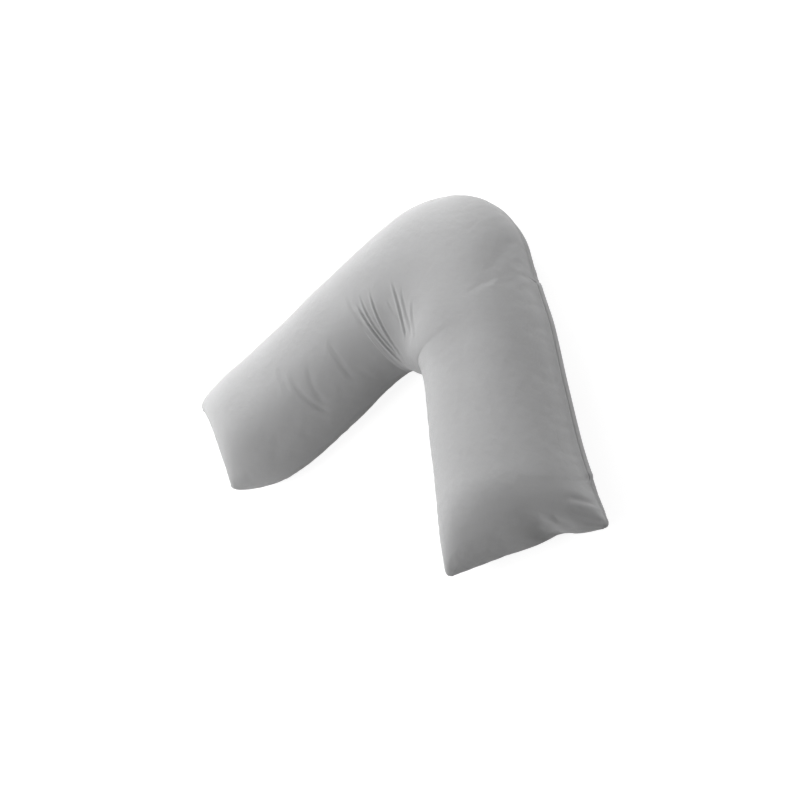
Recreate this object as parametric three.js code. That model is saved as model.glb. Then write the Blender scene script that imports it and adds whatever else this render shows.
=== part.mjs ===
// V shaped pillow in its cover, lying on its back.
// Its thickness is along Z, the V opens towards -Y, and its underside rests at Z = 0.
import * as THREE from 'three';

// Driving sizes, in millimetres and degrees. The plan is measured from the point where the
// straight lines of the two outer seams would cross.
const HALF_ANGLE = 38; // between the middle line and each arm
const SEAM_REACH = 900; // from the crossing to an outer corner
const NOSE_RADIUS = 214; // bend of the outer seam round the point of the V
const THROAT_RADIUS = 34; // bend of the inner seam in the crook
const THROAT = new THREE.Vector2(10, -549); // centre of that bend
const CROWN = 96; // top face above the seam
const BELLY = 57; // underside below the seam, where it is pressed flat
const END_RUN = 131; // how far behind an end seam the filling reaches its full height
const EAR_RADIUS = 9; // rounding of the four corners
const SEAM_WIDTH = 3; // flat sewn edge all round
const SEAM_THICKNESS = 2.4;
const BEND_SHARE = 0.34; // part of each half of the pillow that the bend takes

// How full the pillow's sections are: a power of 2 is an ellipse, and more is squarer
const ACROSS_POWER = 2.3;
const END_POWER = 2.2;
const PRESSED_FROM = 1.5; // the underside is flat where a free belly would hang this much deeper
const LIFT_POWER = 1.5; // how fast a lifted seam's height dies away across the row

// Each arm: the side it lies on, its end from corner to corner, how far its inner corner is set
// back from its outer one, how far the middle of its end seam is drawn in, and a tuck beside the
// outer corner
const ARMS = {
  left: { side: -1, endWidth: 270, setBack: 2, endPull: 14, tuck: 0 },
  right: { side: 1, endWidth: 326, setBack: 28, endPull: 18, tuck: 9 },
};
const END_PULL_RUN = 75; // how far back along the arm that pull is felt
const TUCK_SHARE = 0.72; // where the tuck lies across the end, and its half width
const TUCK_HALF_SHARE = 0.12;
const TUCK_RUN = 30;

// Sections from the left end (-1) over the middle of the bend (0) to the right end (1): how far
// each seam stands out of its straight line or arc, how far it is lifted, and the share of the
// full crown there
const SECTIONS = [
  { place: -1.0, outerOut: 0, innerOut: 0, outerLift: 15, innerLift: 32, crown: 0.94 },
  { place: -0.82, outerOut: -6, innerOut: 27, outerLift: 5, innerLift: 12, crown: 1.0 },
  { place: -0.6, outerOut: -2, innerOut: 18, outerLift: 0, innerLift: 0, crown: 1.02 },
  { place: -0.4, outerOut: 6, innerOut: -9, outerLift: 0, innerLift: 0, crown: 1.0 },
  { place: -0.2, outerOut: 3, innerOut: 0, outerLift: 0, innerLift: 0, crown: 1.06 },
  { place: 0.0, outerOut: -3, innerOut: 0, outerLift: 0, innerLift: 0, crown: 1.12 },
  { place: 0.2, outerOut: -10, innerOut: 0, outerLift: 0, innerLift: 0, crown: 1.06 },
  { place: 0.4, outerOut: 0, innerOut: -12, outerLift: 0, innerLift: 0, crown: 1.0 },
  { place: 0.6, outerOut: -8, innerOut: -12, outerLift: 0, innerLift: 0, crown: 1.0 },
  { place: 0.82, outerOut: -12, innerOut: -4, outerLift: 0, innerLift: 0, crown: 0.98 },
  { place: 1.0, outerOut: 0, innerOut: 0, outerLift: 0, innerLift: 0, crown: 0.94 },
];

// The hem of the cover's opening stands out of the seam, along the right arm's outer side
const HEM = { width: 9, from: 0.33, to: 0.92, fade: 0.05 };

// Gathers that fan out of the crook: each is a pinched ridge with a trough on one side. It runs
// from one distance from the throat's centre to another, and turns from one bearing to another.
const TROUGH_DEPTH = 0.6; // as a share of the ridge's height
const TROUGH_OFFSET = 1.6; // as a share of the ridge's width
const RELIEF_FROM = 20; // the gathers and folds die away where the filling is thinner than this
const GATHERS = [
  { from: 36, to: 190, startBearing: 128, endBearing: 137, height: 4.5, width: 7 },
  { from: 50, to: 196, startBearing: 117, endBearing: 126.5, height: 4.5, width: 7 },
  { from: 44, to: 194, startBearing: 80, endBearing: 110, height: 4.5, width: 7 },
  { from: 84, to: 188, startBearing: 85, endBearing: 102, height: 3.5, width: 7 },
  { from: 70, to: 160, startBearing: 70, endBearing: 90, height: 3.0, width: 7 },
];

// Soft folds elsewhere on the top face, from one point of the plan to another with a bow to the
// side: a height over zero is a ridge, and one under zero a trough
const FOLDS = [
  { fromX: -166, fromY: -494, toX: -92, toY: -558, bow: -10, height: 3.5, width: 8 },
  { fromX: -186, fromY: -618, toX: -122, toY: -650, bow: -6, height: 3.0, width: 8 },
  { fromX: -182, fromY: -590, toX: -150, toY: -626, bow: -2, height: -3.0, width: 8 },
  { fromX: 418, fromY: -663, toX: 534, toY: -664, bow: -7, height: -6, width: 12 },
  { fromX: 420, fromY: -708, toX: 508, toY: -731, bow: -6, height: -7, width: 13 },
];

// Number of steps in the mesh, close together over the gathers and behind the end seams
const COLUMNS = 17;
const ARM_ROWS = 17;
const GATHER_ROWS = 44;
const SHOULDER_ROWS = 9;
const GATHERS_START = -0.36;
const GATHERS_END = 0.14;
const SHOULDER_END = 0.36;
const ROW_POWER = 1.5;

const half = THREE.MathUtils.degToRad(HALF_ANGLE);
const noseCentre = new THREE.Vector2(0, -NOSE_RADIUS / Math.sin(half));
const { clamp, lerp, smoothstep } = THREE.MathUtils;

// Unit vectors of an arm: towards its open end, and out across its outer seam
const towardsEnd = side => new THREE.Vector2(side * Math.sin(half), -Math.cos(half));
const outwards = side => new THREE.Vector2(side * Math.cos(half), Math.sin(half));

const armOf = place => (place < 0 ? ARMS.left : ARMS.right);
const bump = offset => Math.exp(-(offset ** 2));

// One column of the section table, drawn through its rows as a smooth curve
function sectionValue(place, column) {
  const last = SECTIONS.length - 1;
  let i = 0;
  while (i < last - 1 && place > SECTIONS[i + 1].place) i += 1;
  const row = k => SECTIONS[clamp(k, 0, last)];
  const slope = k => (row(k + 1)[column] - row(k - 1)[column]) / (row(k + 1).place - row(k - 1).place);
  const span = row(i + 1).place - row(i).place;
  const t = (place - row(i).place) / span;
  const start = (1 + 2 * t) * (1 - t) ** 2 * row(i)[column] + t * (1 - t) ** 2 * span * slope(i);
  const end = t * t * (3 - 2 * t) * row(i + 1)[column] - t * t * (1 - t) * span * slope(i + 1);
  return start + end;
}

// Outer seam on the ray from the throat's centre: an arm's straight line up to the point where
// the nose's arc begins, then that arc
function outerOnRay(ray) {
  const side = ray.x < 0 ? -1 : 1;
  const across = outwards(side);
  const onLine = THROAT.clone().addScaledVector(ray, -THROAT.dot(across) / ray.dot(across));
  const arcStart = NOSE_RADIUS / Math.tan(half);
  if (onLine.dot(towardsEnd(side)) > arcStart) return onLine;
  const back = THROAT.clone().sub(noseCentre);
  const along = back.dot(ray);
  const reach = -along + Math.sqrt(along * along - back.lengthSq() + NOSE_RADIUS ** 2);
  return THROAT.clone().addScaledVector(ray, reach);
}

// The two seam points of a row, and how far the row lies behind its end seam. The rows of an arm
// lie across it, and those of the bend are rays from the throat's centre.
function seamsAt(place) {
  const arm = armOf(place);
  const outerOut = sectionValue(place, 'outerOut');
  const innerOut = sectionValue(place, 'innerOut');
  if (Math.abs(place) <= BEND_SHARE) {
    const bearing = Math.PI / 2 - (place / BEND_SHARE) * (Math.PI / 2 - half);
    const ray = new THREE.Vector2(Math.cos(bearing), Math.sin(bearing));
    const outer = outerOnRay(ray).addScaledVector(ray, outerOut);
    const inner = THROAT.clone().addScaledVector(ray, THROAT_RADIUS - innerOut);
    return { outer, inner, behindEnd: Infinity };
  }
  const along = (1 - Math.abs(place)) / (1 - BEND_SHARE);
  const end = towardsEnd(arm.side);
  const across = outwards(arm.side);
  const bendStart = THROAT.dot(end);
  const outer = end.clone().multiplyScalar(lerp(SEAM_REACH, bendStart, along));
  const innerEar = end.clone().multiplyScalar(SEAM_REACH - arm.setBack);
  innerEar.addScaledVector(across, -arm.endWidth);
  const throatEdge = THROAT.clone().addScaledVector(across, THROAT_RADIUS);
  const inner = innerEar.lerp(throatEdge, along);
  outer.addScaledVector(across, outerOut);
  inner.addScaledVector(across, -innerOut);
  return { outer, inner, behindEnd: along * (SEAM_REACH - bendStart) };
}

// Width of the flat edge outside the filling: the sewn edge, and beside the opening its hem too
function outerEdgeWidth(place) {
  const opens = smoothstep(place, HEM.from, HEM.from + HEM.fade);
  const closes = 1 - smoothstep(place, HEM.to - HEM.fade, HEM.to);
  return SEAM_WIDTH + HEM.width * opens * closes;
}

// A row of the plan, from the edge outside its inner seam to the edge outside its outer seam
function rowAt(place) {
  const { outer, inner, behindEnd } = seamsAt(place);
  const filled = outer.distanceTo(inner);
  const across = outer.clone().sub(inner).divideScalar(filled);
  const corner = EAR_RADIUS - Math.min(behindEnd, EAR_RADIUS);
  const inset = EAR_RADIUS - Math.sqrt(EAR_RADIUS ** 2 - corner ** 2);
  const start = inner.addScaledVector(across, inset);
  const outerEdge = outerEdgeWidth(place);
  const width = filled - 2 * inset + outerEdge - SEAM_WIDTH;
  return { start, across, behindEnd, outerEdge, width };
}

// Height of the gathers and folds over the smooth crown
function relief(x, y) {
  let height = 0;
  const distance = Math.hypot(x - THROAT.x, y - THROAT.y);
  const bearing = THREE.MathUtils.radToDeg(Math.atan2(y - THROAT.y, x - THROAT.x));
  for (const gather of GATHERS) {
    const along = clamp((distance - gather.from) / (gather.to - gather.from), 0, 1);
    const middle = lerp(gather.startBearing, gather.endBearing, along);
    const offset = THREE.MathUtils.degToRad(bearing - middle) * distance / gather.width;
    const fade = smoothstep(along, 0, 0.25) * (1 - smoothstep(along, 0.55, 1));
    height += gather.height * fade * (bump(offset) - TROUGH_DEPTH * bump(offset + TROUGH_OFFSET));
  }
  for (const fold of FOLDS) {
    const run = new THREE.Vector2(fold.toX - fold.fromX, fold.toY - fold.fromY);
    const out = new THREE.Vector2(x - fold.fromX, y - fold.fromY);
    const along = clamp(out.dot(run) / run.lengthSq(), 0, 1);
    const bow = 4 * fold.bow * along * (1 - along);
    const offset = (run.cross(out) / run.length() - bow) / fold.width;
    height += fold.height * Math.sin(Math.PI * along) * bump(offset);
  }
  return height;
}

// A point of the cover at a distance across its row
function coverPoint(row, place, distance, face) {
  const share = distance / row.width;
  const arm = armOf(place);
  const cup = 1 - (2 * share - 1) ** 2;
  const tuckShape = bump((share - TUCK_SHARE) / TUCK_HALF_SHARE);
  const tuck = arm.tuck * tuckShape * Math.exp(-row.behindEnd / TUCK_RUN);
  const pull = arm.endPull * cup * Math.exp(-row.behindEnd / END_PULL_RUN) + tuck;
  const plan = row.start.clone().addScaledVector(row.across, distance);
  plan.addScaledVector(towardsEnd(arm.side), -pull);

  const filling = row.width - SEAM_WIDTH - row.outerEdge;
  const inside = clamp((distance - SEAM_WIDTH) / filling, 0, 1);
  const rise = Math.sqrt(1 - Math.abs(2 * inside - 1) ** ACROSS_POWER);
  const endRise = Math.sqrt(1 - (1 - clamp(row.behindEnd / END_RUN, 0, 1)) ** END_POWER);
  const height = CROWN * sectionValue(place, 'crown') * endRise * rise;
  const onSeam = distance <= 0 || distance >= row.width || row.behindEnd <= 0;
  const edge = onSeam ? 0 : SEAM_THICKNESS / 2;
  const innerLift = sectionValue(place, 'innerLift') * (1 - share) ** LIFT_POWER;
  const lift = innerLift + sectionValue(place, 'outerLift') * share ** LIFT_POWER;
  if (face === 'top') {
    const folds = relief(plan.x, plan.y) * Math.min(1, height / RELIEF_FROM);
    return new THREE.Vector3(plan.x, plan.y, edge + height + lift + folds);
  }
  const pressed = 1 - (1 - clamp(height / (PRESSED_FROM * BELLY), 0, 1)) ** 2;
  return new THREE.Vector3(plan.x, plan.y, lerp(lift - edge, -BELLY, pressed));
}

// Rows from the left end to the right, closer together behind the end seams
function rowPlaces() {
  const places = [];
  for (let i = 0; i < ARM_ROWS; i += 1) places.push(lerp(-1, GATHERS_START, (i / ARM_ROWS) ** ROW_POWER));
  for (let i = 0; i < GATHER_ROWS; i += 1) places.push(lerp(GATHERS_START, GATHERS_END, i / GATHER_ROWS));
  for (let i = 0; i < SHOULDER_ROWS; i += 1) places.push(lerp(GATHERS_END, SHOULDER_END, i / SHOULDER_ROWS));
  for (let i = ARM_ROWS; i >= 0; i -= 1) places.push(lerp(1, SHOULDER_END, (i / ARM_ROWS) ** ROW_POWER));
  return places;
}

// Distances of a row's points across it, closer together near the seams
function columnDistances(row) {
  const distances = [0, SEAM_WIDTH / 2];
  const filling = row.width - SEAM_WIDTH - row.outerEdge;
  for (let i = 0; i <= COLUMNS; i += 1) {
    distances.push(SEAM_WIDTH + filling * (0.5 - 0.5 * Math.cos(Math.PI * i / COLUMNS)));
  }
  distances.push(row.width - row.outerEdge / 2, row.width);
  return distances;
}

// The filled cover as one closed skin: a top and an underside that share the points of the rim
function filledCover() {
  const places = rowPlaces();
  const lastRow = places.length - 1;
  const lastColumn = COLUMNS + 4;
  const points = [];
  const index = { top: [], bottom: [] };
  places.forEach((place, i) => {
    const row = rowAt(place);
    index.top[i] = [];
    index.bottom[i] = [];
    columnDistances(row).forEach((distance, j) => {
      const onRim = i === 0 || i === lastRow || j === 0 || j === lastColumn;
      index.top[i][j] = points.push(coverPoint(row, place, distance, 'top')) - 1;
      if (onRim) index.bottom[i][j] = index.top[i][j];
      else index.bottom[i][j] = points.push(coverPoint(row, place, distance, 'bottom')) - 1;
    });
  });
  const triangles = [];
  for (let i = 0; i < lastRow; i += 1) {
    for (let j = 0; j < lastColumn; j += 1) {
      for (const face of ['top', 'bottom']) {
        const row = index[face][i];
        const next = index[face][i + 1];
        const [a, b, c, d] = [row[j], next[j], next[j + 1], row[j + 1]];
        if (face === 'top') triangles.push(a, b, c, a, c, d);
        else triangles.push(a, c, b, a, d, c);
      }
    }
  }
  const positions = points.flatMap(point => point.toArray());
  const geometry = new THREE.BufferGeometry();
  geometry.setAttribute('position', new THREE.Float32BufferAttribute(positions, 3));
  geometry.setIndex(triangles);
  geometry.computeBoundingBox();
  const { min, max } = geometry.boundingBox;
  geometry.translate(-(min.x + max.x) / 2, -(min.y + max.y) / 2, BELLY);
  geometry.computeVertexNormals();
  return geometry;
}

const greyPolycotton = new THREE.MeshStandardMaterial({ color: 0xa3a4a6, roughness: 0.86, metalness: 0 });

const pillow = new THREE.Group();
const cover = new THREE.Mesh(filledCover(), greyPolycotton);
cover.name = 'filled_cover';
pillow.add(cover);

export default pillow;
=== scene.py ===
# V shaped pillow in its cover, lying on its back: the looks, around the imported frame
import math
from collections import namedtuple

import bpy
import numpy as np
from bpy.props import FloatProperty, FloatVectorProperty, IntProperty, PointerProperty
from mathutils import Matrix, Vector


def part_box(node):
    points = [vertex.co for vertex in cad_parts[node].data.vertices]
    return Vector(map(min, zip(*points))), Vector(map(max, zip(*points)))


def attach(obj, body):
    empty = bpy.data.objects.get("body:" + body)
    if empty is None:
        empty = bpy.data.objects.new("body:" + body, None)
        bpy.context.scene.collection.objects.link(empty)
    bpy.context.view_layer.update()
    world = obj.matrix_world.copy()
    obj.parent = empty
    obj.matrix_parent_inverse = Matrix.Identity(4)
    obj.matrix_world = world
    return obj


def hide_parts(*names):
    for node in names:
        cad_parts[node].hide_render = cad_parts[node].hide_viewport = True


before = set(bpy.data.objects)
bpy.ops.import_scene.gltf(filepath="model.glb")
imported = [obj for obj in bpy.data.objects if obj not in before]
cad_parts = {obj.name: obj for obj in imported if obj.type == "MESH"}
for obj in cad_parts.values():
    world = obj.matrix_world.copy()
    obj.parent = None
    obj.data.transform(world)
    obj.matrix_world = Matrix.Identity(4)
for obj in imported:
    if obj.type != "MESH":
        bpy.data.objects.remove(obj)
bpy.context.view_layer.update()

bl_info = {
    "name": "V shaped pillow",
    "version": (1, 0, 0),
    "blender": (4, 5, 0),
    "location": "View3D > Sidebar > V pillow",
    "description": "A filled V shaped pillow in a grey cover, with its studio floor, light and camera",
    "category": "Add Mesh",
}

CAD_LOW, CAD_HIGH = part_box("filled_cover")
BODY = "root"

# Plan of the cover, in metres, from the point where the lines of its two outer seams would cross
HALF_ANGLE = math.radians(38)
NOSE_RADIUS = 0.214
NOSE_CENTRE = np.array([0.0, -NOSE_RADIUS / math.sin(HALF_ANGLE)])
THROAT_RADIUS = 0.0366
THROAT = np.array([0.0085, -0.5502])
BEND_SHARE = 0.34

# How its sections fill out across an arm and behind the end seams, and how the ears are drawn in
END_RUN = 0.131
ACROSS_POWER = 2.3
END_POWER = 2.2
PRESSED_FROM = 1.5
LIFT_POWER = 1.5
EAR_RADIUS = 0.014
END_PULL_RUN = 0.075
TUCK_SHARE = 0.68
TUCK_HALF_SHARE = 0.10
TUCK_RUN = 0.030
EDGE_FADE = 0.004

Arm = namedtuple("Arm", "side reach end_width set_back end_pull tuck")
LEFT_ARM = Arm(side=-1, reach=0.909, end_width=0.281, set_back=0.019, end_pull=0.0206, tuck=0.0)
RIGHT_ARM = Arm(side=1, reach=0.903, end_width=0.325, set_back=0.038, end_pull=0.017, tuck=0.0113)

Section = namedtuple("Section", "place outer_out inner_out outer_lift inner_lift crown")
SECTIONS = [
    Section(-1.00, -0.001, -0.004, 0.015, 0.032, 0.97),
    Section(-0.82, -0.004, 0.021, 0.005, 0.012, 1.02),
    Section(-0.60, 0.000, 0.009, 0.000, 0.000, 1.05),
    Section(-0.40, 0.007, -0.010, 0.000, 0.000, 1.03),
    Section(-0.30, 0.008, -0.007, 0.000, 0.000, 1.05),
    Section(-0.20, 0.005, -0.002, 0.000, 0.000, 1.06),
    Section(-0.10, 0.000, 0.004, 0.000, 0.000, 1.06),
    Section(0.00, -0.004, 0.007, 0.000, 0.000, 1.06),
    Section(0.10, -0.009, 0.007, 0.000, 0.000, 1.06),
    Section(0.20, -0.008, 0.004, 0.000, 0.000, 1.06),
    Section(0.30, -0.005, -0.004, 0.000, 0.000, 1.05),
    Section(0.40, -0.002, -0.016, 0.000, 0.000, 1.02),
    Section(0.60, -0.008, -0.012, 0.000, 0.000, 1.01),
    Section(0.82, -0.010, -0.007, 0.000, 0.000, 1.00),
    Section(1.00, 0.006, 0.006, 0.000, 0.000, 0.95),
]

# Creases of the top face: a trough from one point of the plan to another, bowed to one side, with
# a ridge on its right hand. It deepens over its first part and fades out over its last.
Crease = namedtuple("Crease", "from_x from_y to_x to_y bow depth width")
GATHERS = [
    Crease(-0.155, -0.411, -0.078, -0.473, -0.003, 0.0005, 0.0040),
    Crease(-0.118, -0.425, 0.002, -0.517, -0.003, 0.0015, 0.0026),
    Crease(-0.060, -0.506, -0.023, -0.522, -0.002, 0.0005, 0.0024),
    Crease(-0.117, -0.407, 0.005, -0.512, -0.005, 0.0012, 0.0024),
    Crease(-0.094, -0.393, 0.011, -0.512, -0.004, 0.0013, 0.0025),
    Crease(-0.046, -0.405, 0.009, -0.451, -0.002, 0.0005, 0.0026),
    Crease(-0.045, -0.369, 0.026, -0.474, 0.005, 0.0015, 0.0027),
    Crease(-0.015, -0.380, 0.044, -0.466, -0.001, 0.0011, 0.0028),
    Crease(0.024, -0.396, 0.060, -0.474, -0.002, 0.0007, 0.0040),
]
SOFT_FOLDS = [
    Crease(-0.162, -0.510, -0.092, -0.577, -0.002, 0.0022, 0.0042),
    Crease(-0.092, -0.549, -0.062, -0.560, -0.003, 0.0009, 0.0034),
    Crease(-0.224, -0.606, -0.133, -0.654, -0.010, 0.0021, 0.0044),
    Crease(-0.191, -0.571, -0.136, -0.644, -0.006, 0.0014, 0.0046),
    Crease(-0.262, -0.588, -0.214, -0.640, -0.006, 0.0008, 0.0060),
    Crease(0.486, -0.686, 0.540, -0.674, -0.002, 0.0026, 0.0052),
    Crease(0.492, -0.704, 0.552, -0.704, -0.003, 0.0026, 0.0050),
    Crease(0.468, -0.729, 0.508, -0.733, 0.002, 0.0028, 0.0060),
]
GATHER_RIDGE = 1.0
FOLD_RIDGE = 0.35
RIDGE_OFFSET = 1.8
RIDGE_WIDTH = 0.85
CREASE_RISEN = 0.3
CREASE_FALLS = 0.9

# The hem of the cover's opening stands out of the seam, along the right arm's outer side. A slit
# with a low lip beside it runs along it.
HEM_FROM = 0.255
HEM_TO = 0.88
HEM_FADE = 0.025
HEM_FACE_REACH = 1.6
SLIT_LIP = 0.35
SLIT_LIP_OFFSET = 2.4
SLIT_LIP_WIDTH = 1.6

# Where the simulation finds spare cloth: most at one place of the seam, none round the throat
LOOSEST_PLACE = 0.17
LOOSE_RUN = 0.16
TAUT_RADIUS = 0.05
SPARE_RADIUS = 0.16
HELD_WIDTH = 0.0015
WEIGHT_LEVELS = 16
EVENED_ROWS = 12
EVENED_COLUMNS = 6

# Uneven filling and small puckers, and how each fades in from the seam or the end seam
LUMP_LENGTHS = (0.23, 0.19, 0.16, 0.13, 0.11, 0.09)
LUMP_WOBBLE = 0.8
LUMP_WOBBLE_RATE = 0.37
PUCKER_COUNTS = (23, 31, 41, 53, 67)
INNER_PUCKER_REACH = 0.020
OUTER_PUCKER_REACH = 0.028
PUCKER_PATCHES = 1.7
PUCKER_SWING = 1.3
PUCKER_SWING_RATE = 9
WAVE_SUM = 3
TOP_LUMPS_SEED = 11
BOTTOM_LUMPS_SEED = 12
TOP_PUCKERS_SEED = 5
BOTTOM_PUCKERS_SEED = 6
LUMPS_FROM_SEAM = (0.001, 0.020)
LUMPS_FROM_END = (0.002, 0.030)
PUCKERS_FROM_SEAM = (0.0, 0.006)
PUCKERS_FROM_END = (0.0, 0.012)
CREASES_FROM_SEAM = (0.0, 0.008)

# Steps of the cover's mesh: rows along it, columns across it, and closer columns beside its seams
# and beside the slit of its opening
ARM_ROWS = 50
GATHER_ROWS = 90
NOSE_ROWS = 26
GATHERS_TO = 0.10
ROW_POWER = 1.25
SWELLING_COLUMNS = 46
SWELLING_EVENNESS = 0.35
MIDDLE_COLUMNS = 84
INNER_STRIP = (0.0, 0.0004, 0.0010, 0.0020, 0.0035, 0.0055, 0.0080)
OUTER_STRIP = (0.0140, 0.0116, 0.0097, 0.0081, 0.0069, 0.0059, 0.0052, 0.0047, 0.0043, 0.0040,
               0.0037, 0.0032, 0.0025, 0.0016, 0.0008, 0.0003, 0.0)

# The cloth's look: how fine its parts are, in waves for each metre, and how strong or deep
SLUBS_ACROSS = 1400.0
SLUBS_ALONG = 40.0
WASH_SCALE = 9.0
CREASE_SCALE = 55.0
GRAIN_SCALE = 380.0
# Painted shade: how much darker the colour is in the gaps between the weave's threads
GAP_PAINTED_SHADE = 0.05
CREASE_STRENGTH = 0.22
GRAIN_STRENGTH = 0.25
GRAIN_DEPTH = 0.0004
WEAVE_DEPTH = 0.0002
SLUB_HEIGHT = 0.5
SLUB_ROUGHNESS = 0.08

# The sewing thread: its twist, and each stitch as rings of a few points
TWIST_PITCH = 0.0006
TWIST_DEPTH = 0.0001
STITCH_SHARE = 0.8
STITCH_RINGS = 6
THREAD_SIDES = 6
STITCH_HEIGHT = 1.5
STITCH_SUNK = 0.9
STITCH_TIP = 0.45

# Floor, camera and lamps
FLOOR_HALF = 8.0
FLOOR_DEPTH = 0.0006
REFLECTOR_DEPTH = 0.0003
SENSOR_WIDTH = 36.0
PICTURE_SIDE = 800
AIM = (0.00215, -0.0761, 0.057)
LAMPS = [
    ("key_lamp", (-2.66, 2.66, 1.37), 3.0, 165.0),
    ("side_lamp", (-3.76, 0.0, 1.37), 3.0, 102.0),
    ("top_lamp", (-2.0, -2.0, 2.83), 3.0, 101.0),
    ("edge_lamp", (2.66, 2.66, 1.37), 3.0, 76.0),
    ("low_lamp", (-0.10, -1.15, 0.35), 0.7, 2.0),
]


class PillowShape(bpy.types.PropertyGroup):
    """Sizes of the filled cover"""

    crown: FloatProperty(
        name="Crown", description="Height of the top face above the seam",
        default=0.096, unit="LENGTH")
    belly: FloatProperty(
        name="Belly", description="Depth of the pressed underside below the seam",
        default=0.057, unit="LENGTH")
    seam_width: FloatProperty(
        name="Seam width", description="Width of the flat sewn edge",
        default=0.0008, unit="LENGTH")
    hem_thickness: FloatProperty(
        name="Hem thickness", description="Thickness of the opening's rolled hem",
        default=0.004, unit="LENGTH")
    hem_slope: FloatProperty(
        name="Hem slope", description="Rise of the hem's face towards the arm",
        default=1.5)
    seam_thickness: FloatProperty(
        name="Seam thickness", description="Thickness of the sewn edge",
        default=0.0012, unit="LENGTH")
    hem_width: FloatProperty(
        name="Hem width", description="How far the opening's hem stands out",
        default=0.009, unit="LENGTH")


class CoverCloth(bpy.types.PropertyGroup):
    """Finish of the cover"""

    colour: FloatVectorProperty(
        name="Colour", description="Colour of the dyed cloth",
        default=(0.36, 0.36, 0.363), size=3, min=0.0, max=1.0, subtype="COLOR")
    thread_pitch: FloatProperty(
        name="Thread pitch", description="Distance between the weave's threads",
        default=0.0005, unit="LENGTH")
    roughness: FloatProperty(
        name="Roughness", description="Roughness of the cloth",
        default=0.78, min=0.0, max=1.0, subtype="FACTOR")
    sheen: FloatProperty(
        name="Sheen", description="Soft shine of the cloth's fibres",
        default=0.3, min=0.0, max=1.0, subtype="FACTOR")
    thread_variation: FloatProperty(
        name="Thread variation", description="Difference in tone between threads",
        default=0.16)
    wash_variation: FloatProperty(
        name="Wash variation", description="Unevenness of the dye",
        default=0.05)
    weave_strength: FloatProperty(
        name="Weave strength", description="Strength of the weave's relief",
        default=0.35)
    crease_depth: FloatProperty(
        name="Crease depth", description="Depth of the small creases",
        default=0.004, unit="LENGTH")
    lumps: FloatProperty(
        name="Lumps", description="Unevenness of the filling",
        default=0.0010, unit="LENGTH")
    puckers: FloatProperty(
        name="Puckers", description="Height of the puckers along the seams",
        default=0.0006, unit="LENGTH")
    slit_depth: FloatProperty(
        name="Slit depth", description="Depth of the opening's edge",
        default=0.0020, unit="LENGTH")
    slit_width: FloatProperty(
        name="Slit width", description="Half width of the opening's edge",
        default=0.0007, unit="LENGTH")
    slit_inset: FloatProperty(
        name="Slit inset", description="Distance of the opening's edge from the hem's rim",
        default=0.0043, unit="LENGTH")
    stitch_pitch: FloatProperty(
        name="Stitch pitch", description="Distance from stitch to stitch",
        default=0.003, unit="LENGTH")
    stitch_inset: FloatProperty(
        name="Stitch inset", description="How far the stitches lie behind the hem's seam line",
        default=0.014, unit="LENGTH")
    thread_radius: FloatProperty(
        name="Thread radius", description="Radius of the sewing thread",
        default=0.00022, unit="LENGTH")
    pressure: FloatProperty(
        name="Pressure", description="Pressure of the filling in the simulation",
        default=1.5)
    bending: FloatProperty(
        name="Bending stiffness", description="Bending stiffness of the cloth in the simulation",
        default=0.5)
    spare_share: FloatProperty(
        name="Spare cloth", description="Share of spare cloth at the loosest seam",
        default=0.03)
    even_spare: FloatProperty(
        name="Even spare", description="Part of that share that every seam has",
        default=0.5)
    spare_width: FloatProperty(
        name="Spare width", description="Width of the band with spare cloth",
        default=0.042, unit="LENGTH")
    puckering: FloatProperty(
        name="Puckering", description="Part of the simulated puckers that is kept",
        default=0.32)
    cap: FloatProperty(
        name="Cap", description="How far the simulation may move a point",
        default=0.006, unit="LENGTH")
    steps: IntProperty(name="Steps", description="Frames of the simulation", default=20)


class StudioView(bpy.types.PropertyGroup):
    """Camera and light"""

    azimuth: FloatProperty(
        name="Azimuth", description="Camera's bearing round the pillow",
        default=math.radians(78.9), unit="ROTATION")
    elevation: FloatProperty(
        name="Elevation", description="Camera's height angle",
        default=math.radians(46.5), unit="ROTATION")
    roll: FloatProperty(
        name="Roll", description="Camera's turn about its own axis",
        default=math.radians(-60.75), unit="ROTATION")
    distance: FloatProperty(
        name="Distance", description="Camera's distance from its aim",
        default=2.429, unit="LENGTH")
    focal_pixels: FloatProperty(
        name="Focal length", description="Focal length in pixels of the picture",
        default=1207.0)
    light: FloatProperty(
        name="Light", description="Strength of the studio lights",
        default=1.06)
    surround: FloatProperty(
        name="Surround", description="Strength of the light from all round",
        default=0.10)
    floor_glow: FloatProperty(
        name="Floor glow", description="Strength of the pale floor's own light",
        default=0.88)


def smoothstep(value, start, end):
    t = np.clip((value - start) / (end - start), 0.0, 1.0)
    return t * t * (3 - 2 * t)


def bump(offset):
    return np.exp(-offset ** 2)


def mix(a, b, t):
    return a + (b - a) * t


def unit(vectors):
    """Vectors of length 1 in the same directions"""
    return vectors / np.maximum(np.linalg.norm(vectors, axis=-1, keepdims=True), 1e-12)


def towards_end(side):
    return np.array([side * math.sin(HALF_ANGLE), -math.cos(HALF_ANGLE)])


def outwards(side):
    return np.array([side * math.cos(HALF_ANGLE), math.sin(HALF_ANGLE)])


def curve_through(places, values, at):
    """Values at other places, along a smooth curve through the given ones"""
    last = len(places) - 1
    low = np.maximum(np.arange(last + 1) - 1, 0)
    high = np.minimum(np.arange(last + 1) + 1, last)
    run = (places[high] - places[low]).reshape((-1,) + (1,) * (values.ndim - 1))
    slope = (values[high] - values[low]) / run
    i = np.clip(np.searchsorted(places, at, side="right") - 1, 0, last - 1)
    span = places[i + 1] - places[i]
    t = (at - places[i]) / span
    if values.ndim > 1:
        span = span[:, None]
        t = t[:, None]
    start = (1 + 2 * t) * (1 - t) ** 2 * values[i] + t * (1 - t) ** 2 * span * slope[i]
    return start + t * t * (3 - 2 * t) * values[i + 1] - t * t * (1 - t) * span * slope[i + 1]


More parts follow.
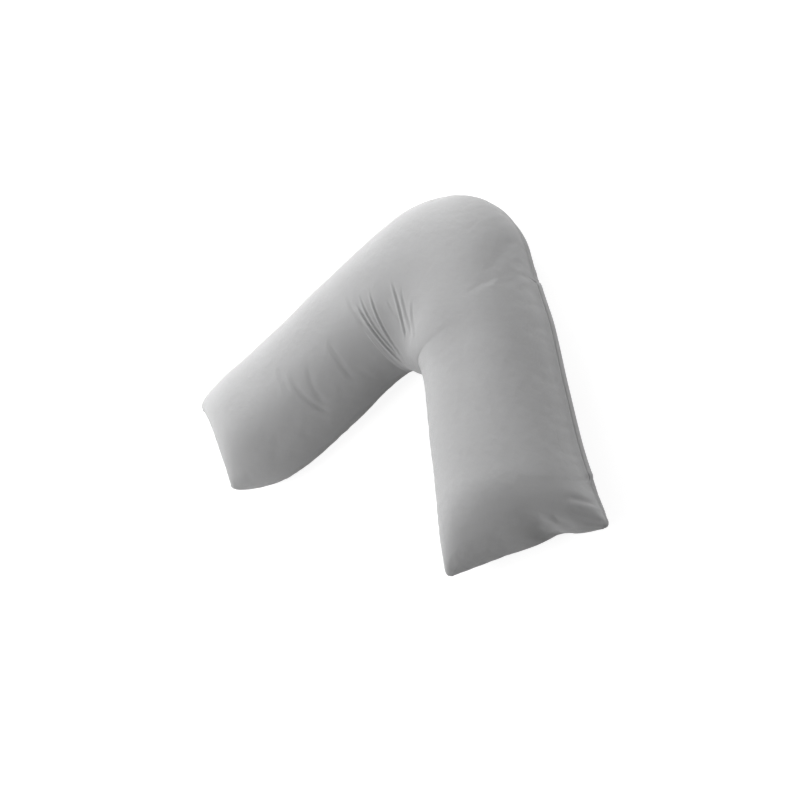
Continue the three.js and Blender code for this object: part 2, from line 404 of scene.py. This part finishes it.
def section_value(place, column):
    """One column of the section table at a place"""
    values = np.array([getattr(section, column) for section in SECTIONS])
    return float(curve_through(np.array([section.place for section in SECTIONS]), values, place))


def outer_on_ray(ray):
    """Outer seam on a ray from the throat's centre: an arm's straight line, or the nose's arc"""
    side = -1 if ray[0] < 0 else 1
    across = outwards(side)
    on_line = THROAT + ray * (-(THROAT @ across) / (ray @ across))
    if on_line @ towards_end(side) > NOSE_RADIUS / math.tan(HALF_ANGLE):
        return on_line
    back = THROAT - NOSE_CENTRE
    along = back @ ray
    return THROAT + ray * (-along + math.sqrt(along ** 2 - back @ back + NOSE_RADIUS ** 2))


def seams_at(place):
    """The two seam points of a row, and how far it lies behind its end seam"""
    arm = LEFT_ARM if place < 0 else RIGHT_ARM
    outer_out = section_value(place, "outer_out")
    inner_out = section_value(place, "inner_out")
    if abs(place) <= BEND_SHARE:
        bearing = math.pi / 2 - place / BEND_SHARE * (math.pi / 2 - HALF_ANGLE)
        ray = np.array([math.cos(bearing), math.sin(bearing)])
        return outer_on_ray(ray) + ray * outer_out, THROAT + ray * (THROAT_RADIUS - inner_out), math.inf
    along = (1 - abs(place)) / (1 - BEND_SHARE)
    end = towards_end(arm.side)
    across = outwards(arm.side)
    bend_start = THROAT @ end
    outer = end * mix(arm.reach, bend_start, along) + across * outer_out
    inner_ear = end * (arm.reach - arm.set_back) - across * arm.end_width
    inner = mix(inner_ear, THROAT + across * THROAT_RADIUS, along) - across * inner_out
    return outer, inner, along * (arm.reach - bend_start)


def hem_share(place):
    """How much of the opening's hem stands out at a place along the pillow"""
    risen = smoothstep(place, HEM_FROM, HEM_FROM + HEM_FADE)
    return risen * (1 - smoothstep(place, HEM_TO - HEM_FADE, HEM_TO))


class Row:
    """A row of the plan, from the edge outside its inner seam to the edge outside its outer seam"""

    def __init__(self, place, shape):
        self.arm = LEFT_ARM if place < 0 else RIGHT_ARM
        outer, inner, self.behind_end = seams_at(place)
        filled = np.linalg.norm(outer - inner)
        self.across = (outer - inner) / filled
        corner = EAR_RADIUS - min(self.behind_end, EAR_RADIUS)
        inset = EAR_RADIUS - math.sqrt(EAR_RADIUS ** 2 - corner ** 2)
        self.start = inner + self.across * inset
        self.hem = shape.hem_width * hem_share(place)
        self.filled = filled - 2 * inset
        self.width = self.filled + self.hem
        self.crown = section_value(place, "crown")
        self.inner_lift = section_value(place, "inner_lift")
        self.outer_lift = section_value(place, "outer_lift")

    def points(self, distance, face, shape):
        """Its points on the top or bottom face, at these distances across it"""
        share = np.minimum(distance / self.filled, 1.0)
        cup = 1 - (2 * share - 1) ** 2
        tuck = self.arm.tuck * bump((share - TUCK_SHARE) / TUCK_HALF_SHARE)
        tuck *= math.exp(-self.behind_end / TUCK_RUN)
        pull = self.arm.end_pull * cup * math.exp(-self.behind_end / END_PULL_RUN) + tuck
        plan = self.start + distance[:, None] * self.across - pull[:, None] * towards_end(self.arm.side)
        inside = np.minimum(distance / (self.filled - shape.seam_width), 1.0)
        rise = np.sqrt(1 - np.abs(2 * inside - 1) ** ACROSS_POWER)
        end_rise = math.sqrt(1 - (1 - min(self.behind_end / END_RUN, 1.0)) ** END_POWER)
        height = shape.crown * self.crown * end_rise * rise
        across_hem = np.clip((self.width - distance) / (self.hem + shape.seam_width), 0.0, 1.0)
        rolled = np.sqrt(1 - np.minimum(2 * across_hem - 1, 0.0) ** 2)
        edge = rolled * mix(shape.seam_thickness, shape.hem_thickness, self.hem / shape.hem_width) / 2
        edge = edge * smoothstep(share, 0.5, 1.0) * smoothstep(self.behind_end, 0.0, EDGE_FADE)
        lift = self.inner_lift * (1 - share) ** LIFT_POWER + self.outer_lift * share ** LIFT_POWER
        if face == "top":
            from_edge = self.width - distance
            on_hem = from_edge < HEM_FACE_REACH * shape.hem_width
            hem_face = shape.hem_slope * from_edge * on_hem * self.hem / shape.hem_width
            return np.column_stack([plan, edge + np.maximum(height, hem_face) + lift])
        pressed = 1 - (1 - np.clip(height / (PRESSED_FROM * shape.belly), 0.0, 1.0)) ** 2
        return np.column_stack([plan, mix(lift - edge, -shape.belly, pressed)])


def swelling_distances(width):
    """Columns for the simulation: a little closer together near the seams"""
    even = np.arange(SWELLING_COLUMNS + 1) / SWELLING_COLUMNS
    return width * mix(0.5 - 0.5 * np.cos(np.pi * even), even, SWELLING_EVENNESS)


def sewn_distances(width):
    """Columns for the finished cover: even, with closer ones beside the seams and the slit"""
    middle = np.linspace(INNER_STRIP[-1], width - OUTER_STRIP[0], MIDDLE_COLUMNS + 1)
    return np.concatenate([INNER_STRIP, middle[1:-1], width - np.array(OUTER_STRIP)])


def row_places():
    """Places of the rows from end to end, closer together at the gathers and behind the end seams"""
    from_end = (np.arange(ARM_ROWS) / ARM_ROWS) ** ROW_POWER
    left = mix(-1.0, -BEND_SHARE, from_end)
    gathered = np.linspace(-BEND_SHARE, GATHERS_TO, GATHER_ROWS, endpoint=False)
    nose = np.linspace(GATHERS_TO, BEND_SHARE, NOSE_ROWS + 1)
    return np.concatenate([left, gathered, nose, -left[::-1]])


def crease_relief(x, y, creases, ridge_share):
    """Height of a list of creases at points of the plan"""
    height = np.zeros_like(x)
    for crease in creases:
        run = np.array([crease.to_x - crease.from_x, crease.to_y - crease.from_y])
        length = np.linalg.norm(run)
        out_x = x - crease.from_x
        out_y = y - crease.from_y
        along = np.clip((out_x * run[0] + out_y * run[1]) / length ** 2, 0.0, 1.0)
        bow = 4 * crease.bow * along * (1 - along)
        offset = ((run[0] * out_y - run[1] * out_x) / length - bow) / crease.width
        fade = smoothstep(along, 0.0, CREASE_RISEN) * (1 - smoothstep(along, CREASE_FALLS, 1.0))
        ridge = ridge_share * bump((offset + RIDGE_OFFSET) / RIDGE_WIDTH)
        height += crease.depth * fade * (ridge - bump(offset))
    return height


class Panels:
    """Points of the cover's two faces, a row and column grid each, that share the points of their rim"""

    def __init__(self, shape, spread):
        self.places = row_places()
        rows = [Row(place, shape) for place in self.places]
        self.distance = np.array([spread(row.width) for row in rows])
        self.width = np.array([row.width for row in rows])[:, None]
        self.filled = np.array([row.filled for row in rows])[:, None]
        self.hem = np.array([row.hem for row in rows])[:, None] / shape.hem_width
        self.behind_end = np.minimum(np.array([row.behind_end for row in rows]), 1.0)[:, None]
        faces = [np.array([row.points(distance, face, shape) for row, distance in zip(rows, self.distance)])
                 for face in ("top", "bottom")]
        plan_middle = (faces[0].min((0, 1)) + faces[0].max((0, 1))) / 2
        middle = (CAD_LOW + CAD_HIGH) / 2
        self.shift = np.array([middle.x - plan_middle[0], middle.y - plan_middle[1], shape.belly])
        self.top, self.bottom = (face + self.shift for face in faces)

    def swell_with(self, swollen, moves):
        """Moves the points as far as a simulation moved those of other columns of the same rows"""
        for row, (at, distance) in enumerate(zip(swollen.distance, self.distance)):
            self.top[row] += curve_through(at, moves[0][row], distance)
            self.bottom[row] += curve_through(at, moves[1][row], distance)

    def doubled(self):
        """Puts a row between each two rows"""
        for name in ("places", "distance", "width", "filled", "hem", "behind_end", "top", "bottom"):
            setattr(self, name, between(getattr(self, name)))


def between(values):
    """Adds a value between each two, on a smooth curve through their neighbours"""
    padded = np.concatenate([2 * values[:1] - values[1:2], values, 2 * values[-1:] - values[-2:-1]])
    added = np.empty((2 * len(values) - 1,) + values.shape[1:])
    added[::2] = values
    added[1::2] = (9 * (padded[1:-2] + padded[2:-1]) - padded[:-3] - padded[3:]) / 16
    return added


def grid_faces(shape):
    """Vertex numbers of the two faces' grids, sharing their rim, and the quads between them"""
    rows, columns = shape
    top = np.arange(rows * columns).reshape(shape)
    bottom = top.copy()
    inner = (rows - 2) * (columns - 2)
    bottom[1:-1, 1:-1] = rows * columns + np.arange(inner).reshape(rows - 2, columns - 2)
    quads = []
    for grid, turn in ((top, -1), (bottom, 1)):
        corners = [grid[:-1, :-1], grid[:-1, 1:], grid[1:, 1:], grid[1:, :-1]]
        quads.append(np.stack(corners[::turn], -1).reshape(-1, 4))
    return top, bottom, np.concatenate(quads)


def joined_points(top, bottom):
    """The values of two grids in the order of the vertices that grid_faces numbers"""
    return np.concatenate([top.reshape(-1, 3), bottom[1:-1, 1:-1].reshape(-1, 3)])


def make_mesh(name, points, faces):
    mesh = bpy.data.meshes.new(name)
    mesh.from_pydata(points.tolist(), [], faces.tolist())
    mesh.polygons.foreach_set("use_smooth", [True] * len(mesh.polygons))
    mesh.update()
    made = bpy.data.objects.new(name, mesh)
    bpy.context.scene.collection.objects.link(made)
    return made


def normals(points):
    """Unit normals of a grid of points, upwards for the top face"""
    along = np.gradient(points, axis=0)
    across = np.gradient(points, axis=1)
    return unit(np.cross(along, across))


def evened(values):
    """Running mean of a grid of values over a wide patch, twice, mirrored at the rim"""
    for axis, reach in ((0, EVENED_ROWS), (1, EVENED_COLUMNS)) * 2:
        lines = np.moveaxis(values, axis, 0)
        before = 2 * lines[:1] - lines[reach:0:-1]
        after = 2 * lines[-1:] - lines[-2:-reach - 2:-1]
        padded = np.concatenate([before, lines, after])
        total = np.concatenate([np.zeros_like(padded[:1]), np.cumsum(padded, axis=0)])
        patch = 2 * reach + 1
        values = np.moveaxis((total[patch:] - total[:-patch]) / patch, 0, axis)
    return values


def add_cloth_groups(cover, panels, settings):
    """Vertex groups of the simulation: the points that are held, and how taut the cloth is"""
    outer_seam = np.minimum(panels.filled - panels.distance, panels.behind_end)
    seam = np.minimum(panels.distance, outer_seam)
    from_throat = np.hypot(*(panels.top[..., i] - THROAT[i] - panels.shift[i] for i in (0, 1)))
    looseness = bump((panels.places[:, None] - LOOSEST_PLACE) / LOOSE_RUN)
    looser = settings.even_spare + (1 - settings.even_spare) * looseness
    spare = (1 - smoothstep(seam, 0.0, settings.spare_width)) * looser
    spare *= smoothstep(from_throat, TAUT_RADIUS, SPARE_RADIUS)
    held = (outer_seam <= HELD_WIDTH) | (panels.distance <= 0)
    for name, grid in (("held_seam", held), ("taut_cloth", 1 - spare)):
        tripled = np.repeat(grid[..., None], 3, 2)
        weights = joined_points(tripled, tripled)[:, 0]
        levels = np.round(weights * WEIGHT_LEVELS).astype(int)
        group = cover.vertex_groups.new(name=name)
        for level in range(1, WEIGHT_LEVELS + 1):
            chosen = np.nonzero(levels == level)[0]
            if len(chosen):
                group.add(chosen.tolist(), level / WEIGHT_LEVELS, "REPLACE")


def add_cloth(cover, settings):
    """The cloth modifier: pressure from inside, no weight, and shrinking wherever no cloth is spare"""
    cloth = cover.modifiers.new("Cloth", "CLOTH")
    cloth.collision_settings.use_collision = False
    made_of = cloth.settings
    made_of.quality = 6
    made_of.mass = 0.3
    made_of.tension_stiffness = 20
    made_of.compression_stiffness = 20
    made_of.shear_stiffness = 8
    made_of.bending_stiffness = settings.bending
    made_of.use_pressure = True
    made_of.uniform_pressure_force = settings.pressure
    made_of.effector_weights.gravity = 0
    made_of.vertex_group_mass = "held_seam"
    made_of.vertex_group_shrink = "taut_cloth"
    made_of.shrink_min = -settings.spare_share
    made_of.shrink_max = 0.0


def swell(panels, settings):
    """Lets the pressure of the filling push the cover's spare cloth along its seams into puckers"""
    top_index, bottom_index, quads = grid_faces(panels.top.shape[:2])
    start = joined_points(panels.top, panels.bottom)
    cover = make_mesh("swelling_cover", start, quads)
    add_cloth_groups(cover, panels, settings)
    add_cloth(cover, settings)
    scene = bpy.context.scene
    for number in range(1, settings.steps + 1):
        scene.frame_set(number)
    swollen = cover.evaluated_get(bpy.context.evaluated_depsgraph_get())
    moved = np.empty(len(start) * 3)
    swollen.data.vertices.foreach_get("co", moved)
    moved = moved.reshape(-1, 3) - start
    scene.frame_set(1)
    bpy.data.objects.remove(cover)
    length = np.linalg.norm(moved, axis=1, keepdims=True)
    moved *= settings.cap * np.tanh(length / settings.cap) / np.maximum(length, 1e-9)
    return [(moved[index] - evened(moved[index])) * settings.puckering
            for index in (top_index, bottom_index)]


def lumps(x, y, seed):
    """Unevenness of the filling, as a sum of a few long waves"""
    random = np.random.default_rng(seed)
    height = np.zeros_like(x)
    for length in LUMP_LENGTHS:
        turn, phase, swing = random.uniform(0, 2 * np.pi, 3)
        wave = 2 * np.pi * (x * np.cos(turn) + y * np.sin(turn)) / length + phase
        wobble = LUMP_WOBBLE * np.sin(swing + wave * LUMP_WOBBLE_RATE)
        height += np.sin(wave + wobble) * length / LUMP_LENGTHS[0]
    return height / WAVE_SUM


def seam_puckers(panels, seed):
    """Height of the small puckers that run in from the seams"""
    random = np.random.default_rng(seed)
    height = np.zeros_like(panels.distance)
    along = panels.places[:, None]
    from_outer = panels.width - panels.distance
    for distance, reach in ((panels.distance, INNER_PUCKER_REACH), (from_outer, OUTER_PUCKER_REACH)):
        fade = np.exp(-distance / reach) * smoothstep(distance, *PUCKERS_FROM_SEAM)
        waves = np.zeros_like(along)
        for count in PUCKER_COUNTS:
            phase, swing, slow = random.uniform(0, 2 * np.pi, 3)
            patch = 0.5 + 0.5 * np.sin(2 * np.pi * along * PUCKER_PATCHES + slow)
            swung = PUCKER_SWING * np.sin(along * PUCKER_SWING_RATE + swing)
            waves += patch * np.sin(np.pi * along * count + phase + swung)
        height += fade * waves / WAVE_SUM
    return height


def add_relief(panels, settings):
    """Raises the gathers, soft folds, puckers and the opening's edge along the cloth's own normals"""
    x, y = (panels.top[..., i] - panels.shift[i] for i in (0, 1))
    seam = np.minimum(panels.distance, panels.width - panels.distance)
    inside = smoothstep(seam, *LUMPS_FROM_SEAM) * smoothstep(panels.behind_end, *LUMPS_FROM_END)
    edge = smoothstep(panels.behind_end, *PUCKERS_FROM_END)
    slit = (panels.width - panels.distance - settings.slit_inset) / settings.slit_width
    slit_lip = SLIT_LIP * bump((slit - SLIT_LIP_OFFSET) / SLIT_LIP_WIDTH)
    opening = settings.slit_depth * panels.hem * (slit_lip - bump(slit))
    creases = crease_relief(x, y, GATHERS, GATHER_RIDGE) + crease_relief(x, y, SOFT_FOLDS, FOLD_RIDGE)
    top = smoothstep(np.minimum(seam, panels.behind_end), *CREASES_FROM_SEAM) * creases
    top += inside * settings.lumps * lumps(x, y, TOP_LUMPS_SEED)
    top += settings.puckers * seam_puckers(panels, TOP_PUCKERS_SEED) * edge + opening
    bottom = settings.lumps * lumps(x, y, BOTTOM_LUMPS_SEED) * inside
    bottom = bottom + settings.puckers * seam_puckers(panels, BOTTOM_PUCKERS_SEED) * edge
    panels.top += normals(panels.top) * top[..., None]
    panels.bottom -= normals(panels.bottom) * bottom[..., None]
    panels.bottom[..., 2] = np.maximum(panels.bottom[..., 2], 0.0)


def flat_pattern(points):
    """Where each point lay in the cloth before the cover was sewn, from arc lengths along and across it"""
    middle = points.shape[1] // 2
    centre = points[:, middle]
    step = np.diff(centre, axis=0)
    level = unit(step[:, :2]) * np.linalg.norm(step, axis=1, keepdims=True)
    run = np.concatenate([np.zeros((1, 2)), np.cumsum(level, axis=0)])
    across = unit(points[:, -1, :2] - points[:, 0, :2])
    lengths = np.linalg.norm(np.diff(points, axis=1), axis=2)
    arc = np.concatenate([np.zeros((len(points), 1)), np.cumsum(lengths, axis=1)], axis=1)
    arc -= arc[:, middle:middle + 1]
    return run[:, None] + across[:, None] * arc[..., None]


class Wire:
    """A socket of a material. Sums, differences, products, comparisons, absolute values and sines of it add
    Math nodes.
    """

    def __init__(self, cloth, socket):
        self.cloth = cloth
        self.socket = socket

    def math(self, operation, *values):
        return self.cloth.node("Math", {"operation": operation}, dict(enumerate(values)))

    def __add__(self, other):
        return self.math("ADD", self, other)

    def __radd__(self, other):
        return self.math("ADD", other, self)

    def __sub__(self, other):
        return self.math("SUBTRACT", self, other)

    def __rsub__(self, other):
        return self.math("SUBTRACT", other, self)

    def __mul__(self, other):
        return self.math("MULTIPLY", self, other)

    def __rmul__(self, other):
        return self.math("MULTIPLY", other, self)

    def __gt__(self, other):
        return self.math("GREATER_THAN", self, other)

    def __abs__(self):
        return self.math("ABSOLUTE", self)

    def sine(self):
        return self.math("SINE", self)


class Cloth:
    """A material's node tree, built up node by node around its shader"""

    def __init__(self, name):
        self.material = bpy.data.materials.new(name)
        self.material.use_nodes = True
        self.tree = self.material.node_tree
        self.shader = self.tree.nodes["Principled BSDF"]

    def node(self, kind, settings, sockets, output=0):
        """Adds a node: its settings first, then the value or link of each socket named or numbered"""
        added = self.tree.nodes.new("ShaderNode" + kind)
        for name, value in settings.items():
            setattr(added, name, value)
        for name, value in sockets.items():
            self.fill(added.inputs[name], value)
        return Wire(self, added.outputs[output])

    def fill(self, socket, value):
        if isinstance(value, Wire):
            self.tree.links.new(value.socket, socket)
        else:
            socket.default_value = value

    def noise(self, place, scale, detail=2.0, roughness=0.5):
        sockets = {"Vector": place, "Scale": scale, "Detail": detail, "Roughness": roughness}
        return self.node("TexNoise", {}, sockets)

    def part(self, place, axis):
        """One coordinate of a place"""
        return self.node("SeparateXYZ", {}, {0: place}, output=axis)

    def toned(self, colour, tone):
        """A colour made lighter or darker"""
        return self.node("VectorMath", {"operation": "SCALE"}, {0: tuple(colour), "Scale": tone})

    def slubs(self, place, scale_x, scale_y):
        """Uneven tone of long threads"""
        scale = (scale_x, scale_y, 1.0)
        stretched = self.node("VectorMath", {"operation": "MULTIPLY"}, {0: place, 1: scale})
        return self.noise(stretched, 1.0, detail=1.0)

    def relief(self, height, strength, distance, **under):
        """Relief for the shader, laid over another relief where one is given as Normal"""
        sockets = {"Strength": strength, "Distance": distance, "Height": height, **under}
        return self.node("Bump", {}, sockets)

    def shade(self, **sockets):
        for name, value in sockets.items():
            self.fill(self.shader.inputs[name.replace("_", " ")], value)


def woven_cloth(settings):
    """The cover's polycotton: a fine plain weave, uneven threads, small creases and a matt face"""
    cloth = Cloth("grey_polycotton_weave")
    pattern = cloth.node("Attribute", {"attribute_name": "flat_pattern"}, {}, output=1)
    turn = math.pi / settings.thread_pitch
    warp = (cloth.part(pattern, 0) * turn).sine()
    weft = (cloth.part(pattern, 1) * turn).sine()
    over = warp * weft > 0.0
    weave = abs(warp) * over + abs(weft) * (1.0 - over)
    warp_slubs = cloth.slubs(pattern, SLUBS_ACROSS, SLUBS_ALONG)
    weft_slubs = cloth.slubs(pattern, SLUBS_ALONG, SLUBS_ACROSS)
    threads = warp_slubs * over + weft_slubs * (1.0 - over)
    washed = cloth.noise(pattern, WASH_SCALE, detail=3.0)
    tone = 1.0 + (threads - 0.5) * settings.thread_variation
    # The threads' and the dye's uneven tone, with painted shade where the weave lies low between its
    # threads
    tone = tone + (washed - 0.5) * settings.wash_variation - (1.0 - weave) * GAP_PAINTED_SHADE
    creases = cloth.noise(pattern, CREASE_SCALE, detail=3.0, roughness=0.45)
    grain = cloth.noise(pattern, GRAIN_SCALE)
    creased = cloth.relief(creases, CREASE_STRENGTH, settings.crease_depth)
    grained = cloth.relief(grain, GRAIN_STRENGTH, GRAIN_DEPTH, Normal=creased)
    height = weave + threads * SLUB_HEIGHT
    woven = cloth.relief(height, settings.weave_strength, WEAVE_DEPTH, Normal=grained)
    rough = settings.roughness + (threads - 0.5) * SLUB_ROUGHNESS
    cloth.shade(Base_Color=cloth.toned(settings.colour, tone), Roughness=rough, Normal=woven,
                Sheen_Weight=settings.sheen, Sheen_Roughness=0.45, Specular_IOR_Level=0.25)
    return cloth.material


def sewing_thread(settings):
    """Twisted sewing thread in the cover's colour"""
    cloth = Cloth("grey_sewing_thread")
    place = cloth.node("TexCoord", {}, {}, output=3)
    along = cloth.part(place, 0) + cloth.part(place, 1)
    twist = (along * (2 * math.pi / TWIST_PITCH)).sine()
    wound = cloth.relief(twist, 0.4, TWIST_DEPTH)
    # The colour is lighter on the ridges of the twist and darker in its grooves: painted light and painted
    # shade
    cloth.shade(Base_Color=cloth.toned(settings.colour, 1.06 + twist * 0.08),
                Roughness=0.6 + twist * 0.05, Normal=wound)
    return cloth.material


def stitch_points(start, end, up, radius):
    """One stitch: a thread that comes up through the cloth, lies on it and goes down again"""
    share = np.linspace(0.0, 1.0, STITCH_RINGS)
    rise = np.sin(np.pi * share) ** 0.5
    height = radius * (STITCH_HEIGHT * rise - STITCH_SUNK)
    middles = start + (end - start) * share[:, None] + up * height[:, None]
    side = np.cross((end - start) / np.linalg.norm(end - start), up)
    turn = 2 * np.pi * np.arange(THREAD_SIDES) / THREAD_SIDES
    ring = np.cos(turn)[:, None] * side + np.sin(turn)[:, None] * up
    slim = radius * mix(STITCH_TIP, 1.0, rise)
    return (middles[:, None] + ring * slim[:, None, None]).reshape(-1, 3)


def stitch_faces(first):
    """The quads between one stitch's rings, whose points start at a vertex number"""
    ring, side = np.divmod(np.arange((STITCH_RINGS - 1) * THREAD_SIDES), THREAD_SIDES)
    following = (side + 1) % THREAD_SIDES
    here = first + ring * THREAD_SIDES
    there = here + THREAD_SIDES
    return np.stack([here + side, here + following, there + following, there + side], axis=1)


class PILLOW_OT_camera(bpy.types.Operator):
    """Add the camera at the photograph's angle"""

    bl_idname = "pillow.camera"
    bl_label = "Camera"

    def execute(self, context):
        view = context.scene.pillow_view
        level = math.cos(view.elevation)
        back = Vector((math.sin(view.azimuth) * level, -math.cos(view.azimuth) * level,
                       math.sin(view.elevation)))
        right = Vector((math.cos(view.azimuth), math.sin(view.azimuth), 0))
        up = back.cross(right)
        turned_right = right * math.cos(view.roll) + up * math.sin(view.roll)
        turned_up = up * math.cos(view.roll) - right * math.sin(view.roll)
        camera = bpy.data.objects.new("camera", bpy.data.cameras.new("camera"))
        camera.data.sensor_width = SENSOR_WIDTH
        camera.data.lens = SENSOR_WIDTH * view.focal_pixels / PICTURE_SIDE
        place = Vector(AIM) + back * view.distance
        turn = Matrix((turned_right, turned_up, back)).transposed()
        camera.matrix_world = Matrix.Translation(place) @ turn.to_4x4()
        context.scene.collection.objects.link(camera)
        context.scene.camera = camera
        return {"FINISHED"}


class PILLOW_OT_cover(bpy.types.Operator):
    """Add the filled cover: crown, flat underside, gathers, soft folds and puckered seams"""

    bl_idname = "pillow.cover"
    bl_label = "Filled cover"

    def execute(self, context):
        shape = context.scene.pillow_shape
        settings = context.scene.pillow_cloth
        panels = Panels(shape, sewn_distances)
        swelling = Panels(shape, swelling_distances)
        panels.swell_with(swelling, swell(swelling, settings))
        panels.doubled()
        add_relief(panels, settings)
        top_index, bottom_index, quads = grid_faces(panels.top.shape[:2])
        cover = make_mesh("cover", joined_points(panels.top, panels.bottom), quads)
        pattern = flat_pattern(panels.top)
        pattern = np.concatenate([pattern, np.zeros(pattern.shape[:2] + (1,))], axis=2)
        attribute = cover.data.attributes.new("flat_pattern", "FLOAT_VECTOR", "POINT")
        attribute.data.foreach_set("vector", joined_points(pattern, pattern).ravel())
        cover.data.materials.append(woven_cloth(settings))
        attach(cover, BODY)
        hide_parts("filled_cover")
        return {"FINISHED"}


class PILLOW_OT_hem_stitching(bpy.types.Operator):
    """Add the line of stitches along the hem of the cover's opening"""

    bl_idname = "pillow.hem_stitching"
    bl_label = "Hem stitching"

    def execute(self, context):
        settings = context.scene.pillow_cloth
        shape = context.scene.pillow_shape
        panels = Panels(shape, sewn_distances)
        panels.doubled()
        rows, columns = panels.distance.shape
        vertices = bpy.data.objects["cover"].data.vertices
        points = np.empty(len(vertices) * 3)
        vertices.foreach_get("co", points)
        top = points.reshape(-1, 3)[:rows * columns].reshape(rows, columns, 3)
        upright = normals(top)
        line = []
        ups = []
        on_hem = (panels.places > HEM_FROM + HEM_FADE / 2) & (panels.places < HEM_TO - HEM_FADE / 2)
        for row in np.nonzero(on_hem)[0]:
            distance = panels.width[row, 0] - shape.hem_width - settings.stitch_inset
            for found, grid in ((line, top), (ups, upright)):
                found.append([np.interp(distance, panels.distance[row], grid[row, :, i]) for i in range(3)])
        line = np.array(line)
        ups = np.array(ups)
        arc = np.concatenate([[0.0], np.cumsum(np.linalg.norm(np.diff(line, axis=0), axis=1))])
        made = []
        faces = []
        for number in range(int(arc[-1] / settings.stitch_pitch)):
            start_arc = number * settings.stitch_pitch
            ends = [start_arc, start_arc + settings.stitch_pitch * STITCH_SHARE]
            start, end = np.array([np.interp(ends, arc, line[:, i]) for i in range(3)]).T
            up = unit(np.array([np.interp(start_arc, arc, ups[:, i]) for i in range(3)]))
            made.append(stitch_points(start, end, up, settings.thread_radius))
            faces.append(stitch_faces(number * STITCH_RINGS * THREAD_SIDES))
        stitching = make_mesh("hem_stitching", np.concatenate(made), np.concatenate(faces))
        stitching.data.materials.append(sewing_thread(settings))
        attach(stitching, BODY)
        return {"FINISHED"}


class PILLOW_OT_stage(bpy.types.Operator):
    """Add the pale floor and the soft studio lights"""

    bl_idname = "pillow.stage"
    bl_label = "Floor and lights"

    def execute(self, context):
        scene = context.scene
        view = scene.pillow_view
        scene.view_settings.view_transform = "Standard"
        corners = np.array([[-1, -1, 0], [1, -1, 0], [1, 1, 0], [-1, 1, 0]]) * FLOOR_HALF
        corner_order = np.array([[0, 1, 2, 3]])
        floor = make_mesh("floor", corners - [0, 0, FLOOR_DEPTH], corner_order)
        paint = Cloth("pale_floor")
        paint.shade(Base_Color=(0.3, 0.3, 0.3, 1), Roughness=0.9,
                    Emission_Color=(1, 1, 1, 1), Emission_Strength=view.floor_glow)
        floor.data.materials.append(paint.material)
        floor.visible_diffuse = False
        reflector = make_mesh("reflector", corners - [0, 0, REFLECTOR_DEPTH], corner_order)
        matt = Cloth("matt_white")
        matt.shade(Base_Color=(0.6, 0.6, 0.6, 1), Roughness=0.9)
        reflector.data.materials.append(matt.material)
        reflector.visible_camera = False
        reflector.visible_shadow = False
        for name, place, side, power in LAMPS:
            lamp = bpy.data.objects.new(name, bpy.data.lights.new(name, "AREA"))
            lamp.data.shape = "DISK"
            lamp.data.size = side
            lamp.data.energy = power * view.light
            lamp.location = place
            lamp.rotation_mode = "QUATERNION"
            lamp.rotation_quaternion = Vector(place).to_track_quat("Z", "Y")
            scene.collection.objects.link(lamp)
        world = bpy.data.worlds.new("studio")
        world.use_nodes = True
        backdrop = world.node_tree.nodes["Background"]
        backdrop.inputs["Color"].default_value = (1, 1, 1, 1)
        backdrop.inputs["Strength"].default_value = view.surround
        scene.world = world
        return {"FINISHED"}


class PILLOW_PT_panel(bpy.types.Panel):
    """The pillow's pieces and sizes in the 3D view's sidebar"""

    bl_idname = "PILLOW_PT_panel"
    bl_label = "V shaped pillow"
    bl_space_type = "VIEW_3D"
    bl_region_type = "UI"
    bl_category = "V pillow"

    def draw(self, context):
        for made in OPERATORS:
            self.layout.operator(made.bl_idname)
        for group in SETTINGS:
            settings = getattr(context.scene, group)
            for name in settings.bl_rna.properties.keys():
                if name not in ("name", "rna_type"):
                    self.layout.prop(settings, name)


OPERATORS = (PILLOW_OT_camera, PILLOW_OT_cover, PILLOW_OT_hem_stitching, PILLOW_OT_stage)
SETTINGS = {"pillow_shape": PillowShape, "pillow_cloth": CoverCloth, "pillow_view": StudioView}


def register():
    for made in (*SETTINGS.values(), *OPERATORS, PILLOW_PT_panel):
        bpy.utils.register_class(made)
    for name, settings in SETTINGS.items():
        setattr(bpy.types.Scene, name, PointerProperty(type=settings))


def unregister():
    for name in SETTINGS:
        delattr(bpy.types.Scene, name)
    for made in reversed((*SETTINGS.values(), *OPERATORS, PILLOW_PT_panel)):
        bpy.utils.unregister_class(made)


def main():
    register()
    bpy.ops.pillow.camera()
    bpy.ops.pillow.cover()
    bpy.ops.pillow.hem_stitching()
    bpy.ops.pillow.stage()


if __name__ == "__main__":
    main()
